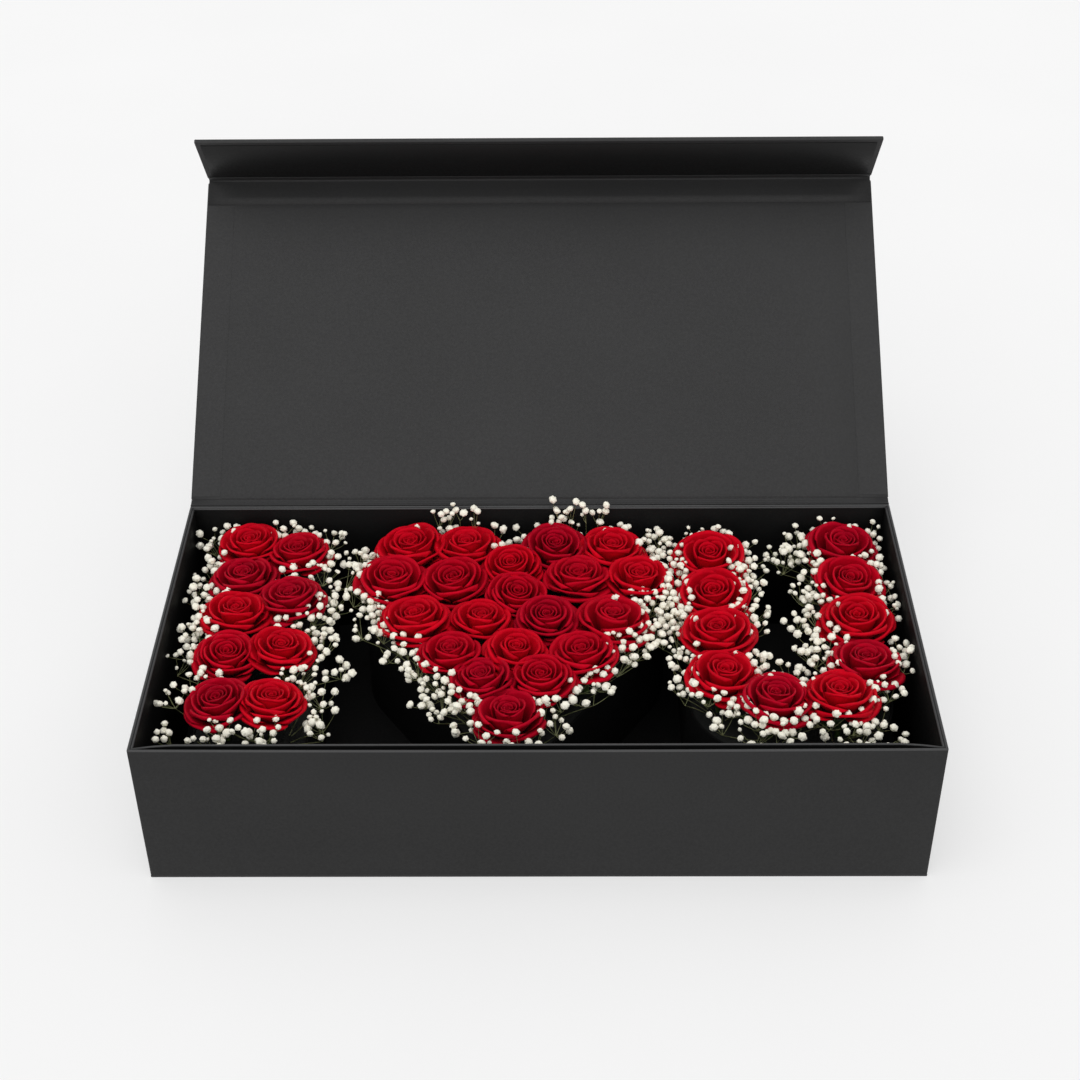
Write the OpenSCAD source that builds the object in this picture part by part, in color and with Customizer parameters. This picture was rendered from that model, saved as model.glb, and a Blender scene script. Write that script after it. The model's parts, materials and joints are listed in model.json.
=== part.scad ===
// Flower box: a covered-board tray with a book-style lid and a folding front flap.
// A bar, a heart and a U of rose heads stand in shaped planters inside it.
// Millimetres, +Z up, +X to the right, +Y to the back.
// The origin is the centre of the underside.

/* [Box] */
// Outside width of the box
box_w = 520; // [520:2:560]
// Outside depth of the box, front to back
box_d = 264; // [264:2:290]
// Height of the rim above the table
box_h = 117; // [115:1:130]
// Thickness of the base and spine boards of the case
case_t = 2; // [1.5:0.5:2.5]
// Thickness of the tray's walls and floor
tray_t = 2; // [1.5:0.5:2.5]
// Thickness of the inner frame's panels
frame_t = 1.6; // [1.2:0.2:2]
// Gap between the front wall and the inner frame
front_gap = 3.4; // [2.5:0.1:4]
// Thickness of the lining papers
paper_t = 0.5; // [0.3:0.1:0.8]

/* [Lid and flap] */
// Thickness of the lid and flap boards
lid_t = 3; // [2:0.5:4]
// How far the lid stands open, measured from closed
lid_open = 143.5; // [90:0.5:180]
// Reach of the flap from its fold line
flap_reach = 60; // [50:1:80]
// Border that the lid lining leaves bare at each side
lining_inset = 22; // [10:1:30]
// Width of the paper strip along the flap's fold
fold_strip = 21; // [15:1:30]

/* [Planters] */
// Height of the planters
planter_h = 67; // [55:1:67]
// Thickness of the planters' card
planter_t = 1.6; // [1.2:0.2:2]
// Width of the bar planter
bar_w = 79; // [76:1:82]
// Length of the bar planter
bar_l = 212; // [206:1:214]
// Radius of the heart planter's two lobes
lobe_r = 57; // [55:1:58]
// Width of the U planter's band
band_w = 43; // [40:1:44]

/* [Flowers] */
// Largest radius of a rose head
rose_r = 21; // [18:0.5:21]
// Height of a rose head
bloom_h = 32; // [28:1:32]
// Space between the tallest rose and the closed lid
head_room = 3; // [1:0.5:10]
// Radius of the blossom ball on a sprig
blossom_r = 4.5; // [3:0.5:4.5]

/* [Hidden] */
$fn = 48;

slack = 0.3;            // running room between the lid and what it closes on
glue = 0.05;            // glue line between boards that are separate pieces
floor_z = case_t + tray_t;
tray_back = box_d / 2 - case_t;
frame_front = -box_d / 2 + tray_t + front_gap;
frame_top = box_h - 0.5;
foam_z = floor_z + planter_t;
foam_top = floor_z + planter_h - 1;

// Fold lines, with the lid closed
hinge_y = box_d / 2 + slack;
hinge_z = box_h + slack;
fold_y = -box_d / 2 - 1.5;
strip_start = 0.8;      // distance from a fold line to the paper beside it
lid_gap = 3.5;          // distance from the lid's fold line to its board
flap_gap = 2;           // distance from the flap's fold line to each board
hinge_strip = 16;       // width of the paper strip along the lid's fold
flap_margin = 4;        // board left bare round the flap's lining
lid_back = hinge_y - lid_gap;
lid_front = fold_y + flap_gap;
flap_low = hinge_z - flap_reach;

// Magnets in the flap and the steel plates that they meet
magnet = [24, 1.5, 10];
plate = [34, 1, 18];
catch_x = box_w / 2 - 95;
catch_z = flap_low + 14;

// Bar: two columns of roses, staggered
bar_x = -194;
bar_y = 12;
column_gap = 36;
column_front = -72;     // where both columns start
left_pitch = 48.5;
left_closing = 1.4;     // how the left column's pitch closes up towards the back
right_pitch = 54;
bar_spots = concat(
    [for (i = [0:4]) [bar_x - column_gap / 2, column_front + left_pitch * i - left_closing * i * i]],
    [for (i = [0:3]) [bar_x + column_gap / 2, column_front + right_pitch * i]]
);

// Heart: rows of roses, each [y, x of the first, pitch, count]
heart_x = -17;
lobe_x = 52;
lobe_y = 60;
tip_y = -112;
tip_r = 8;
heart_rows = [
    [97, -94, 41, 2], [94, 12, 41, 2],
    [72, -20, 0, 1],
    [57, -105, 44, 2], [59, 28, 44, 2],
    [40, -15, 0, 1],
    [13, -86, 46, 4],
    [-23, -60, 45, 3],
    [-50, -38, 40, 2],
    [-84, -19, 0, 1]
];
heart_spots = [for (row = heart_rows) for (i = [0:row[3] - 1]) [row[1] + row[2] * i, row[0]]];

// U: roses at an even pitch along the middle of its band, from the left arm's top
u_x = 173;
u_half = 49;
u_low = -69;
u_corner = 35;
u_top = 114;
u_first = 84;
u_pitch = 43;
u_roses = 10;
u_arm = u_first - u_low - u_corner;
u_bend = u_corner * PI / 2;
u_flat = 2 * (u_half - u_corner);
u_spots = [for (i = [0:u_roses - 1]) u_point(i * u_pitch)];

BLACK = "#2b2b2d";
LINING = "#3b3b3d";
CARD = "#151516";
FOAM = "#1d201d";
PETAL = "#b00a1e";
STALK = "#3f5a2a";
BLOSSOM = "#f2f2e6";

// A point s along the middle of the U's band: down, round, along, round and up
function u_point(s) =
    s < u_arm ? [u_x - u_half, u_first - s]
    : s < u_arm + u_bend ? u_turn(s - u_arm, -1)
    : s < u_arm + u_bend + u_flat ? [u_x - u_half + u_corner + s - u_arm - u_bend, u_low]
    : s < u_arm + 2 * u_bend + u_flat ? u_turn(u_arm + 2 * u_bend + u_flat - s, 1)
    : [u_x + u_half, u_low + u_corner + s - u_arm - 2 * u_bend - u_flat];

// A point on the U's left (side -1) or right (side 1) bend, d past its upper end
function u_turn(d, side) =
    let (a = d / u_corner * 180 / PI)
    [u_x + side * (u_half - u_corner + u_corner * cos(a)), u_low + u_corner - u_corner * sin(a)];

// Distance from point p to the nearest other spot
function nearest(p, spots) = min([for (q = spots) let (d = norm(p - q)) d < 0.1 ? 1000 : d]);

// Each rose is as wide as its nearest neighbour allows
function fitted_r(p, spots) = min(rose_r, nearest(p, spots) / 2 - 0.3);

// How much lower than the tallest rose the i-th stands, in steps that don't repeat
mean_dip = 1;
dip_step = 137;
function dip(i) = mean_dip * (1 + sin(dip_step * i));

// A rose's stem
stem_r = 2.2;
stem_depth = 40;        // how far it goes into the foam

// Sprigs stand round each rose, wherever no other rose and no other planter's sprig is near
sprig_reach = rose_r + blossom_r + 0.6;
sprig_root = 4;         // distance from the rose's axis to the sprig's foot
sprig_depth = 4;        // how far a sprig's stem goes into the foam
sprig_r = 0.7;
sprig_drop = 22;        // how far below the rim a blossom stands
sprig_lift = [-6, 4];   // how much lower or higher each one may stand
sprig_seed = 7;
wall_clear = blossom_r + 1.2;
function in_tray(q) =
    abs(q[0]) < box_w / 2 - tray_t - frame_t - wall_clear
    && q[1] < tray_back - tray_t - frame_t - wall_clear
    && q[1] > frame_front + frame_t + wall_clear;
function sprig_ends(spots, others) = [
    for (p = spots, a = [22.5:45:360])
    let (q = p + sprig_reach * [cos(a), sin(a)])
    if (in_tray(q) && nearest(q, spots) > sprig_reach - 0.01
        && nearest(q, others) > sprig_reach + 2 * blossom_r + 1)
        [p + sprig_root * [cos(a), sin(a)], q]
];

// n + 1 points on a circle of radius r about c, from angle a to angle b
function arc(c, r, a, b, n) =
    [for (i = [0:n]) let (t = a + (b - a) * i / n) c + r * [cos(t), sin(t)]];

// ---- outlines of the planters, each drawn d inside its outer edge ----

module round_rect(w, l, r) {
    square([w - 2 * r, l], center = true);
    square([w, l - 2 * r], center = true);
    for (x = [-1, 1], y = [-1, 1]) translate([x * (w / 2 - r), y * (l / 2 - r)]) circle(r);
}

module bar_outline(d) {
    translate([bar_x, bar_y]) round_rect(bar_w - 2 * d, bar_l - 2 * d, 7 - d);
}

// Two lobes that meet at a notch, and a small rounded tip, joined by their outer tangents
module heart_outline(d) {
    r1 = lobe_r - d;
    r2 = tip_r - d;
    tip = [0, tip_y + tip_r];
    lobe = [lobe_x, lobe_y];
    along = lobe - tip;
    notch = 180 - acos(lobe_x / r1);
    tangent = atan2(along[1], along[0]) - 90 - asin((r1 - r2) / norm(along));
    half = concat(arc(lobe, r1, notch, tangent, 36), arc(tip, r2, tangent, -90, 6));
    other = [for (i = [len(half) - 2:-1:1]) [-half[i][0], half[i][1]]];
    translate([heart_x, 0]) polygon(concat(half, other));
}

// A block with square top corners and round bottom ones
module round_bottom(half, low, top, r) {
    translate([-half, low + r]) square([2 * half, top - low - r]);
    translate([-half + r, low]) square([2 * (half - r), r + 1]);
    for (side = [-1, 1]) translate([side * (half - r), low + r]) circle(r, $fn = 96);
}

module u_outline(d) {
    side = band_w / 2 - d;
    translate([u_x, 0]) difference() {
        round_bottom(u_half + side, u_low - side, u_top - d, u_corner + side);
        round_bottom(u_half - side, u_low + side, u_top + 20, u_corner - side);
    }
}

// ---- the case: base, spine, lid and flap, all in one paper cover ----

module slab(low, high) {
    translate(low) cube(high - low);
}

module case_base() {
    color(BLACK) slab([-box_w / 2, -box_d / 2, 0], [box_w / 2, box_d / 2, case_t]);
}

module case_spine() {
    color(BLACK) slab([-box_w / 2, tray_back, case_t], [box_w / 2, box_d / 2, box_h]);
}

// Turns a piece drawn on the closed lid to where the open lid stands
module on_lid() {
    translate([0, hinge_y, hinge_z])
        rotate([-lid_open, 0, 0])
            translate([0, -hinge_y, -hinge_z])
                children();
}

module lid_board() {
    color(BLACK) on_lid()
        slab([-box_w / 2, lid_front, hinge_z + paper_t], [box_w / 2, lid_back, hinge_z + paper_t + lid_t]);
}

module lid_lining() {
    half = box_w / 2 - lining_inset;
    color(LINING) on_lid()
        slab([-half, fold_y + fold_strip, hinge_z], [half, hinge_y - hinge_strip, hinge_z + paper_t]);
}

// Paper strip along the fold between spine and lid
module lid_hinge() {
    half = box_w / 2 - 1;
    color(BLACK) on_lid()
        slab([-half, hinge_y - hinge_strip, hinge_z], [half, hinge_y - strip_start, hinge_z + paper_t]);
}

// Paper strip along the fold between lid and flap
module flap_hinge() {
    half = box_w / 2 - 1;
    color(BLACK) on_lid()
        slab([-half, fold_y + strip_start, hinge_z], [half, fold_y + fold_strip, hinge_z + paper_t]);
}

// The i-th magnet's place, in the flap's inner side
module at_magnets() {
    for (side = [-1, 1])
        translate([side * catch_x - magnet[0] / 2, fold_y - paper_t - magnet[1], catch_z - magnet[2] / 2])
            children();
}

module flap_board() {
    color(BLACK) on_lid() difference() {
        slab(
            [-box_w / 2, fold_y - paper_t - lid_t, flap_low],
            [box_w / 2, fold_y - paper_t, hinge_z - flap_gap]
        );
        at_magnets() cube(magnet + [0, 1, 0]);
    }
}

module flap_magnets() {
    color("silver") on_lid() at_magnets() cube(magnet);
}

module flap_lining() {
    half = box_w / 2 - flap_margin;
    color(LINING) on_lid()
        slab([-half, fold_y - paper_t, flap_low + flap_margin], [half, fold_y, hinge_z - strip_start]);
}

// ---- the tray and what lines it ----

// Floor and four walls, glued up
module tray_shell() {
    half = box_w / 2;
    front = -box_d / 2;
    back = tray_back - glue;
    low = floor_z + glue;
    color(BLACK) {
        slab([-half, front, case_t], [half, back, floor_z]);
        for (side = [0, 1]) mirror([side, 0, 0])
            slab([half - tray_t, front, low], [half, back, box_h]);
        slab([-half + tray_t + glue, front, low], [half - tray_t - glue, front + tray_t, box_h]);
        slab([-half + tray_t + glue, back - tray_t, low], [half - tray_t - glue, back, box_h]);
    }
}

// Four panels that stand inside the walls; the front one stands off for the plates
module inner_frame() {
    half = box_w / 2 - tray_t - glue;
    back = tray_back - tray_t - 2 * glue;
    low = floor_z + glue;
    color(LINING) {
        for (side = [0, 1]) mirror([side, 0, 0])
            slab([half - frame_t, frame_front, low], [half, back, frame_top]);
        slab([-half + frame_t + glue, frame_front, low], [half - frame_t - glue, frame_front + frame_t, frame_top]);
        slab([-half + frame_t + glue, back - frame_t, low], [half - frame_t - glue, back, frame_top]);
    }
}

// Two steel plates on the front wall's inner side, opposite the magnets
module catch_plates() {
    color("silver") for (side = [-1, 1])
        translate([side * catch_x - plate[0] / 2, -box_d / 2 + tray_t, catch_z - plate[2] / 2])
            cube(plate);
}

// ---- planters, foam, roses and sprigs ----

module planter() {
    color(CARD) translate([0, 0, floor_z]) difference() {
        linear_extrude(planter_h) children(0);
        translate([0, 0, planter_t]) linear_extrude(planter_h) children(1);
    }
}

module bar_planter() planter() { bar_outline(0); bar_outline(planter_t); }
module heart_planter() planter() { heart_outline(0); heart_outline(planter_t); }
module u_planter() planter() { u_outline(0); u_outline(planter_t); }

module foam() {
    color(FOAM) translate([0, 0, foam_z]) linear_extrude(foam_top - foam_z) children();
}

module bar_foam() foam() bar_outline(planter_t + 0.2);
module heart_foam() foam() heart_outline(planter_t + 0.2);
module u_foam() foam() u_outline(planter_t + 0.2);

// The i-th rose of a group: an open head on a short stem pushed into the foam
module rose(i, spots) {
    spot = spots[i];
    r = fitted_r(spot, spots);
    top = hinge_z - head_room - dip(i);
    low = top - bloom_h;
    stem_low = foam_top - stem_depth;
    profile = concat(
        [[0, 0], [stem_r + 1, 0], [r * 0.45, bloom_h * 0.1], [r * 0.85, bloom_h * 0.35]],
        [for (a = [0:15:75]) [r * cos(a), bloom_h * (0.6 + 0.4 * sin(a))]],
        [[r * 0.12, bloom_h * 0.99], [0, bloom_h * 0.95]]
    );
    translate([spot[0], spot[1], 0]) {
        color(PETAL) translate([0, 0, low]) rotate_extrude() polygon(profile);
        color(STALK) translate([0, 0, stem_low]) cylinder(r = stem_r, h = low - stem_low + 1);
    }
}

// One sprig along +Z: a thin stem that ends in a blossom ball
module sprig(length) {
    ball = [for (a = [-60:40:60]) [blossom_r * cos(a), length + blossom_r * sin(a)]];
    neck = [sprig_r, length - blossom_r];
    color(BLOSSOM) rotate_extrude($fn = 8)
        polygon(concat([[0, 0], [sprig_r, 0], neck], ball, [[0, length + blossom_r]]));
}

// Sprigs that lean out from the foam round a group of roses
module sprigs(spots, others) {
    ends = sprig_ends(spots, others);
    lift = rands(sprig_lift[0], sprig_lift[1], len(ends), sprig_seed);
    for (i = [0:len(ends) - 1]) {
        root = concat(ends[i][0], foam_top - sprig_depth);
        tip = concat(ends[i][1], box_h - sprig_drop + lift[i]);
        rise = tip - root;
        translate(root)
            rotate([0, acos(rise[2] / norm(rise)), atan2(rise[1], rise[0])])
                sprig(norm(rise));
    }
}

case_base();
case_spine();
tray_shell();
inner_frame();
catch_plates();
lid_board();
lid_lining();
lid_hinge();
flap_board();
flap_lining();
flap_hinge();
flap_magnets();
bar_planter();
heart_planter();
u_planter();
bar_foam();
heart_foam();
u_foam();
sprigs(bar_spots, heart_spots);  // bar_sprigs
sprigs(heart_spots, concat(bar_spots, u_spots));  // heart_sprigs
sprigs(u_spots, heart_spots);  // u_sprigs
for (i = [0:len(bar_spots) - 1])
    rose(i, bar_spots);
for (i = [0:len(heart_spots) - 1])
    rose(i, heart_spots);
for (i = [0:len(u_spots) - 1])
    rose(i, u_spots);
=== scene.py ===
"""Flower box: the looks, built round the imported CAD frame.

A covered-board box with a book-style lid and a folding flap. Inside, rose heads and
baby's breath stand in planters shaped as a bar, a heart and a U. Lengths are in metres.
"""
import json
import math
import random

import bmesh
import bpy
import numpy as np
from mathutils import Matrix, Vector


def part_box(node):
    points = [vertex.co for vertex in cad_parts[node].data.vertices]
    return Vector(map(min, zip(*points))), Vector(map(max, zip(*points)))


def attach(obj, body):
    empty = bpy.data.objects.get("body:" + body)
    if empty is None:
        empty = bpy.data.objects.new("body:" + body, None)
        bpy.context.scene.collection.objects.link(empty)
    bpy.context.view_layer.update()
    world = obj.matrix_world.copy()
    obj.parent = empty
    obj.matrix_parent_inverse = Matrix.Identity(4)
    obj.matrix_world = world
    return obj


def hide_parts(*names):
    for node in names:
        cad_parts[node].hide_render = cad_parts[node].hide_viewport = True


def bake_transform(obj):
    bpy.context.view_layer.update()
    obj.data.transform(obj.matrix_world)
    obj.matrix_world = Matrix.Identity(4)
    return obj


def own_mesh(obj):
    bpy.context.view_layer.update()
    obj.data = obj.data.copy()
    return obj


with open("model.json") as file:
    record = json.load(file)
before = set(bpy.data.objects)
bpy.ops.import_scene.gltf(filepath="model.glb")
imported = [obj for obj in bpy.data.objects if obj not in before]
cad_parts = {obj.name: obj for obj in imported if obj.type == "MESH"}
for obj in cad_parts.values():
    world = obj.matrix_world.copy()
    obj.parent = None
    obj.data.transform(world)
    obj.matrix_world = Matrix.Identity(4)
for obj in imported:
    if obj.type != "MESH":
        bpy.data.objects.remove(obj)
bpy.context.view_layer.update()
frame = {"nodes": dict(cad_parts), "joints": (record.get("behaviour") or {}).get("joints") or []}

nodes = frame["nodes"]
joints = {joint["name"]: joint for joint in frame["joints"]}

MM = 0.001
BOARD_EDGE = 0.7 * MM       # rounding of the lid's and flap's board edges
CASE_EDGE = 0.6 * MM        # rounding of the case boards' edges
PAPER = 0.3 * MM            # thickness of the cover paper
TRAY_WALL = 2.0 * MM        # the tray's wall
FRAME_THICK = 1.6 * MM      # the inner frame's panels

# ---------------------------------------------------------------- the frame's own places

hinge = Vector(joints["lid_swing"]["pos_m"])
flap_fold = Vector(joints["flap_fold"]["pos_m"])
lid_open = -math.radians(joints["lid_swing"]["range_deg"][0])
opened = Matrix.Translation(hinge) @ Matrix.Rotation(-lid_open, 4, "X") @ Matrix.Translation(-hinge)

box_low, box_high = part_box("tray_shell")
rim = box_high.z
half_width = box_high.x
floor_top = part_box("bar_planter")[0].z
foam_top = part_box("bar_foam")[1].z
frame_low, frame_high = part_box("inner_frame")

in_order = sorted(nodes, key=lambda node: (len(node), node))
GROUPS = {
    group: [node for node in in_order if node.startswith(group + "_rose_")]
    for group in ("bar", "heart", "u")
}


def bloom_spot(node):
    """A rose's axis, widest radius and top, from its CAD solid."""
    low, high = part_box(node)
    return (low.x + high.x) / 2, (low.y + high.y) / 2, (high.x - low.x) / 2, high.z


SPOTS = {group: [bloom_spot(node) for node in members] for group, members in GROUPS.items()}
ALL_SPOTS = [spot for spots in SPOTS.values() for spot in spots]


# ---------------------------------------------------------------- materials

class Shader:
    """A principled material whose nodes are added one call at a time."""

    def __init__(self, name, roughness=0.6, **sockets):
        self.material = bpy.data.materials.new(name)
        self.material.use_nodes = True
        self.tree = self.material.node_tree
        self.bsdf = self.tree.nodes["Principled BSDF"]
        self.bsdf.inputs["Roughness"].default_value = roughness
        for socket, value in sockets.items():
            self.bsdf.inputs[socket.replace("_", " ")].default_value = value
        self.coords = self.tree.nodes.new("ShaderNodeTexCoord").outputs["Object"]

    def link(self, out, into):
        self.tree.links.new(out, into)

    def noise(self, scale, detail=4.0, stretch=(1, 1, 1), roughness=0.55):
        mapping = self.tree.nodes.new("ShaderNodeMapping")
        mapping.inputs["Scale"].default_value = stretch
        self.link(self.coords, mapping.inputs["Vector"])
        node = self.tree.nodes.new("ShaderNodeTexNoise")
        node.inputs["Scale"].default_value = scale
        node.inputs["Detail"].default_value = detail
        node.inputs["Roughness"].default_value = roughness
        self.link(mapping.outputs["Vector"], node.inputs["Vector"])
        return node.outputs["Fac"]

    def attribute(self, name):
        node = self.tree.nodes.new("ShaderNodeAttribute")
        node.attribute_name = name
        return node.outputs["Fac"]

    def ramp(self, value, stops):
        node = self.tree.nodes.new("ShaderNodeValToRGB")
        elements = node.color_ramp.elements
        while len(elements) < len(stops):
            elements.new(0.5)
        for element, (place, colour) in zip(elements, stops):
            element.position = place
            element.color = (*colour, 1)
        self.link(value, node.inputs["Fac"])
        return node.outputs["Color"]

    def fade(self, value, low, high, to_low=0.0, to_high=1.0):
        node = self.tree.nodes.new("ShaderNodeMapRange")
        limits = {"From Min": low, "From Max": high, "To Min": to_low, "To Max": to_high}
        for socket, number in limits.items():
            node.inputs[socket].default_value = number
        self.link(value, node.inputs["Value"])
        return node.outputs["Result"]

    def mix(self, factor, first, second):
        """Blends from the first colour to the second as factor goes from 0 to 1."""
        node = self.tree.nodes.new("ShaderNodeMix")
        node.data_type = "RGBA"
        colours = [socket for socket in node.inputs if socket.type == "RGBA"]
        for value, target in zip((factor, first, second), (node.inputs["Factor"], *colours)):
            if isinstance(value, tuple):
                target.default_value = (*value, 1)
            else:
                self.link(value, target)
        return [socket for socket in node.outputs if socket.type == "RGBA"][0]

    def math(self, operation, *values):
        node = self.tree.nodes.new("ShaderNodeMath")
        node.operation = operation
        for socket, value in zip(node.inputs, values):
            if isinstance(value, (int, float)):
                socket.default_value = value
            else:
                self.link(value, socket)
        return node.outputs["Value"]

    def bump(self, height, distance, strength=1.0):
        node = self.tree.nodes.new("ShaderNodeBump")
        node.inputs["Distance"].default_value = distance
        node.inputs["Strength"].default_value = strength
        self.link(height, node.inputs["Height"])
        if self.bsdf.inputs["Normal"].is_linked:
            self.link(self.bsdf.inputs["Normal"].links[0].from_socket, node.inputs["Normal"])
        self.link(node.outputs["Normal"], self.bsdf.inputs["Normal"])

    def colour(self, out):
        self.link(out, self.bsdf.inputs["Base Color"])


def paper(name, dark, light, roughness=0.62, gloss=0.35, lie=0.3 * MM):
    """Matte covering paper: fibre grain, soft cloudiness and a slight uneven lie."""
    shader = Shader(name, roughness)
    shader.bsdf.inputs["Specular IOR Level"].default_value = gloss
    cloud = shader.noise(9, 3)
    fibre = shader.noise(1400, 3, (1, 0.35, 1))
    grain = shader.noise(520, 4)
    cloud_share, fibre_share = shader.math("MULTIPLY", cloud, 0.6), shader.math("MULTIPLY", fibre, 0.4)
    speck = shader.math("ADD", cloud_share, fibre_share)
    shader.colour(shader.ramp(speck, [(0.32, dark), (0.68, light)]))
    uneven = shader.fade(grain, 0.3, 0.7, roughness - 0.06, roughness + 0.08)
    shader.link(uneven, shader.bsdf.inputs["Roughness"])
    shader.bump(fibre, 0.05 * MM)
    shader.bump(grain, 0.06 * MM)
    shader.bump(shader.noise(16, 2), lie, 0.6)
    return shader.material


def grey(value):
    """A grey with a trace of blue, as a linear colour."""
    return (value, value, value * 1.02)


COVER = paper("cover_paper", grey(0.0115), grey(0.0148), gloss=0.28)
CASE = paper("case_paper", grey(0.0215), grey(0.0265), roughness=0.66)
LINING = paper("lining_paper", grey(0.0210), grey(0.0258), roughness=0.66)
# A darker copy of the lining paper: painted shade on the flap's lining, which faces down.
FLAP_LINING_SHADE = paper("flap_lining_shade_paper", grey(0.0040), grey(0.0060), roughness=0.6, gloss=0.28)
STRIP = paper("fold_strip_paper", grey(0.0125), grey(0.0170), roughness=0.6)
# A near-black copy of the paper: painted shade inside the tray, on its floor and inner walls and down
# the inner frame's faces.
INSIDE_SHADE = paper("inside_shade_paper", grey(0.0035), grey(0.0055), roughness=0.6, gloss=0.16)
# Lighter paper on the tray's rounded rim and the inner frame's rounded tops: a painted highlight where
# the edges catch the light.
RIM_HIGHLIGHT = paper("rim_highlight_paper", grey(0.038), grey(0.050), roughness=0.5)
# Near-black card, darker than the box's papers: painted shade on the planters deep in the box.
CARD_SHADE = paper("planter_card", grey(0.0030), grey(0.0050), roughness=0.8, gloss=0.12, lie=0.12 * MM)


def petal_material(name, deep, body, painted_highlight):
    """Velvety petal: darker at its foot and in the bud as painted shade, brighter at its rim as a
    painted highlight, fine veins along it.
    """
    shader = Shader(
        name, 0.5, Sheen_Weight=0.12, Sheen_Roughness=0.35, Sheen_Tint=(1.0, 0.05, 0.12, 1.0),
    )
    shader.bsdf.inputs["Specular IOR Level"].default_value = 0.25
    shader.bsdf.inputs["Specular Tint"].default_value = (1.0, 0.08, 0.16, 1.0)
    along = shader.attribute("petal_along")
    across = shader.attribute("petal_across")
    # Per petal: how much painted shade darkens it, its ring's share varied at random.
    tone = shader.attribute("petal_tone")
    # Painted shade at the petal's foot, deep in the head; a painted highlight along its rim.
    base = shader.ramp(along, [(0.25, deep), (0.72, body), (0.955, body), (1.0, painted_highlight)])
    mottled = shader.mix(shader.fade(shader.noise(160, 3), 0.4, 0.75, 0.0, 0.35), base, deep)
    shaded = shader.mix(shader.fade(tone, 0, 1, 0.0, 0.55), mottled, deep)
    shader.colour(shaded)
    vein = shader.tree.nodes.new("ShaderNodeTexNoise")
    vein.noise_dimensions = "2D"
    place = shader.tree.nodes.new("ShaderNodeCombineXYZ")
    shader.link(shader.math("MULTIPLY", across, 26.0), place.inputs["X"])
    shader.link(shader.math("MULTIPLY", along, 1.6), place.inputs["Y"])
    shader.link(place.outputs["Vector"], vein.inputs["Vector"])
    vein.inputs["Scale"].default_value = 1.0
    shader.bump(vein.outputs["Fac"], 0.12 * MM)
    shader.bump(shader.noise(900, 2), 0.03 * MM)
    uneven = shader.fade(vein.outputs["Fac"], 0.3, 0.7, 0.42, 0.58)
    shader.link(uneven, shader.bsdf.inputs["Roughness"])
    return shader.material


# Each red gives the colour at a petal's foot, darkened as painted shade, over its body, and along its
# rim, lightened as a painted highlight.
REDS = {
    "petal_scarlet": [(0.200, 0.0004, 0.0040), (0.680, 0.0014, 0.0130), (0.800, 0.0080, 0.0260)],
    "petal_red": [(0.160, 0.0004, 0.0045), (0.590, 0.0012, 0.0150), (0.700, 0.0070, 0.0280)],
    "petal_crimson": [(0.120, 0.0003, 0.0050), (0.520, 0.0011, 0.0165), (0.630, 0.0065, 0.0290)],
}
PETALS = [petal_material(name, *colours) for name, colours in REDS.items()]
RED_CHOICES = (0, 0, 1, 1, 2)   # crimson is the rarest


def green_material(name, dark, light):
    """Mottled green skin with fine lengthwise ribs."""
    shader = Shader(name, 0.55)
    shader.colour(shader.ramp(shader.noise(240, 3), [(0.35, dark), (0.65, light)]))
    shader.bump(shader.noise(1200, 2, (1, 1, 0.2)), 0.05 * MM)
    return shader.material


STALK = green_material("stalk_green", (0.020, 0.045, 0.010), (0.055, 0.095, 0.022))
SPRIG = green_material("sprig_green", (0.130, 0.150, 0.060), (0.300, 0.310, 0.150))


def blossom_material():
    """Papery white petals crumpled into a ball, creamier and greener down in the folds, where painted
    shade darkens them too.
    """
    shader = Shader("blossom_white", 0.75, Sheen_Weight=0.2, Sheen_Roughness=0.5)
    fold = shader.attribute("fold_depth")
    ruffle = shader.noise(900, 3)
    fold_share, ruffle_share = shader.math("MULTIPLY", fold, 0.8), shader.math("MULTIPLY", ruffle, 0.2)
    shade = shader.math("ADD", fold_share, ruffle_share)
    # Down in the folds a cream-green tint with painted shade, on the ridges near white.
    shader.colour(shader.ramp(shade, [
        (0.12, (0.38, 0.38, 0.19)), (0.36, (0.82, 0.79, 0.57)), (0.60, (0.97, 0.94, 0.81)),
    ]))
    shader.bump(ruffle, 0.12 * MM)
    return shader.material


BLOSSOM = blossom_material()


def foam_material():
    """Wet black floral foam, full of fine pores, with painted shade in them."""
    shader = Shader("wet_foam", 0.85)
    cells = shader.tree.nodes.new("ShaderNodeTexVoronoi")
    cells.inputs["Scale"].default_value = 1500
    shader.link(shader.coords, cells.inputs["Vector"])
    # The pores are painted darker than the cell walls: painted shade in the holes.
    pore_shade, wall = (0.0012, 0.0016, 0.0012), (0.0035, 0.0045, 0.0035)
    shader.colour(shader.ramp(cells.outputs["Distance"], [(0.1, pore_shade), (0.7, wall)]))
    shader.bump(cells.outputs["Distance"], 0.25 * MM)
    return shader.material


def steel_material():
    """Plain plated steel, finely brushed along X."""
    shader = Shader("plain_steel", 0.38, Metallic=1.0)
    brushed = shader.noise(700, 3, (0.05, 1, 1))
    shader.colour(shader.ramp(brushed, [(0.3, (0.30, 0.30, 0.31)), (0.7, (0.52, 0.52, 0.53))]))
    shader.bump(brushed, 0.02 * MM)
    return shader.material


FOAM = foam_material()
STEEL = steel_material()


# ---------------------------------------------------------------- mesh helpers

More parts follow.
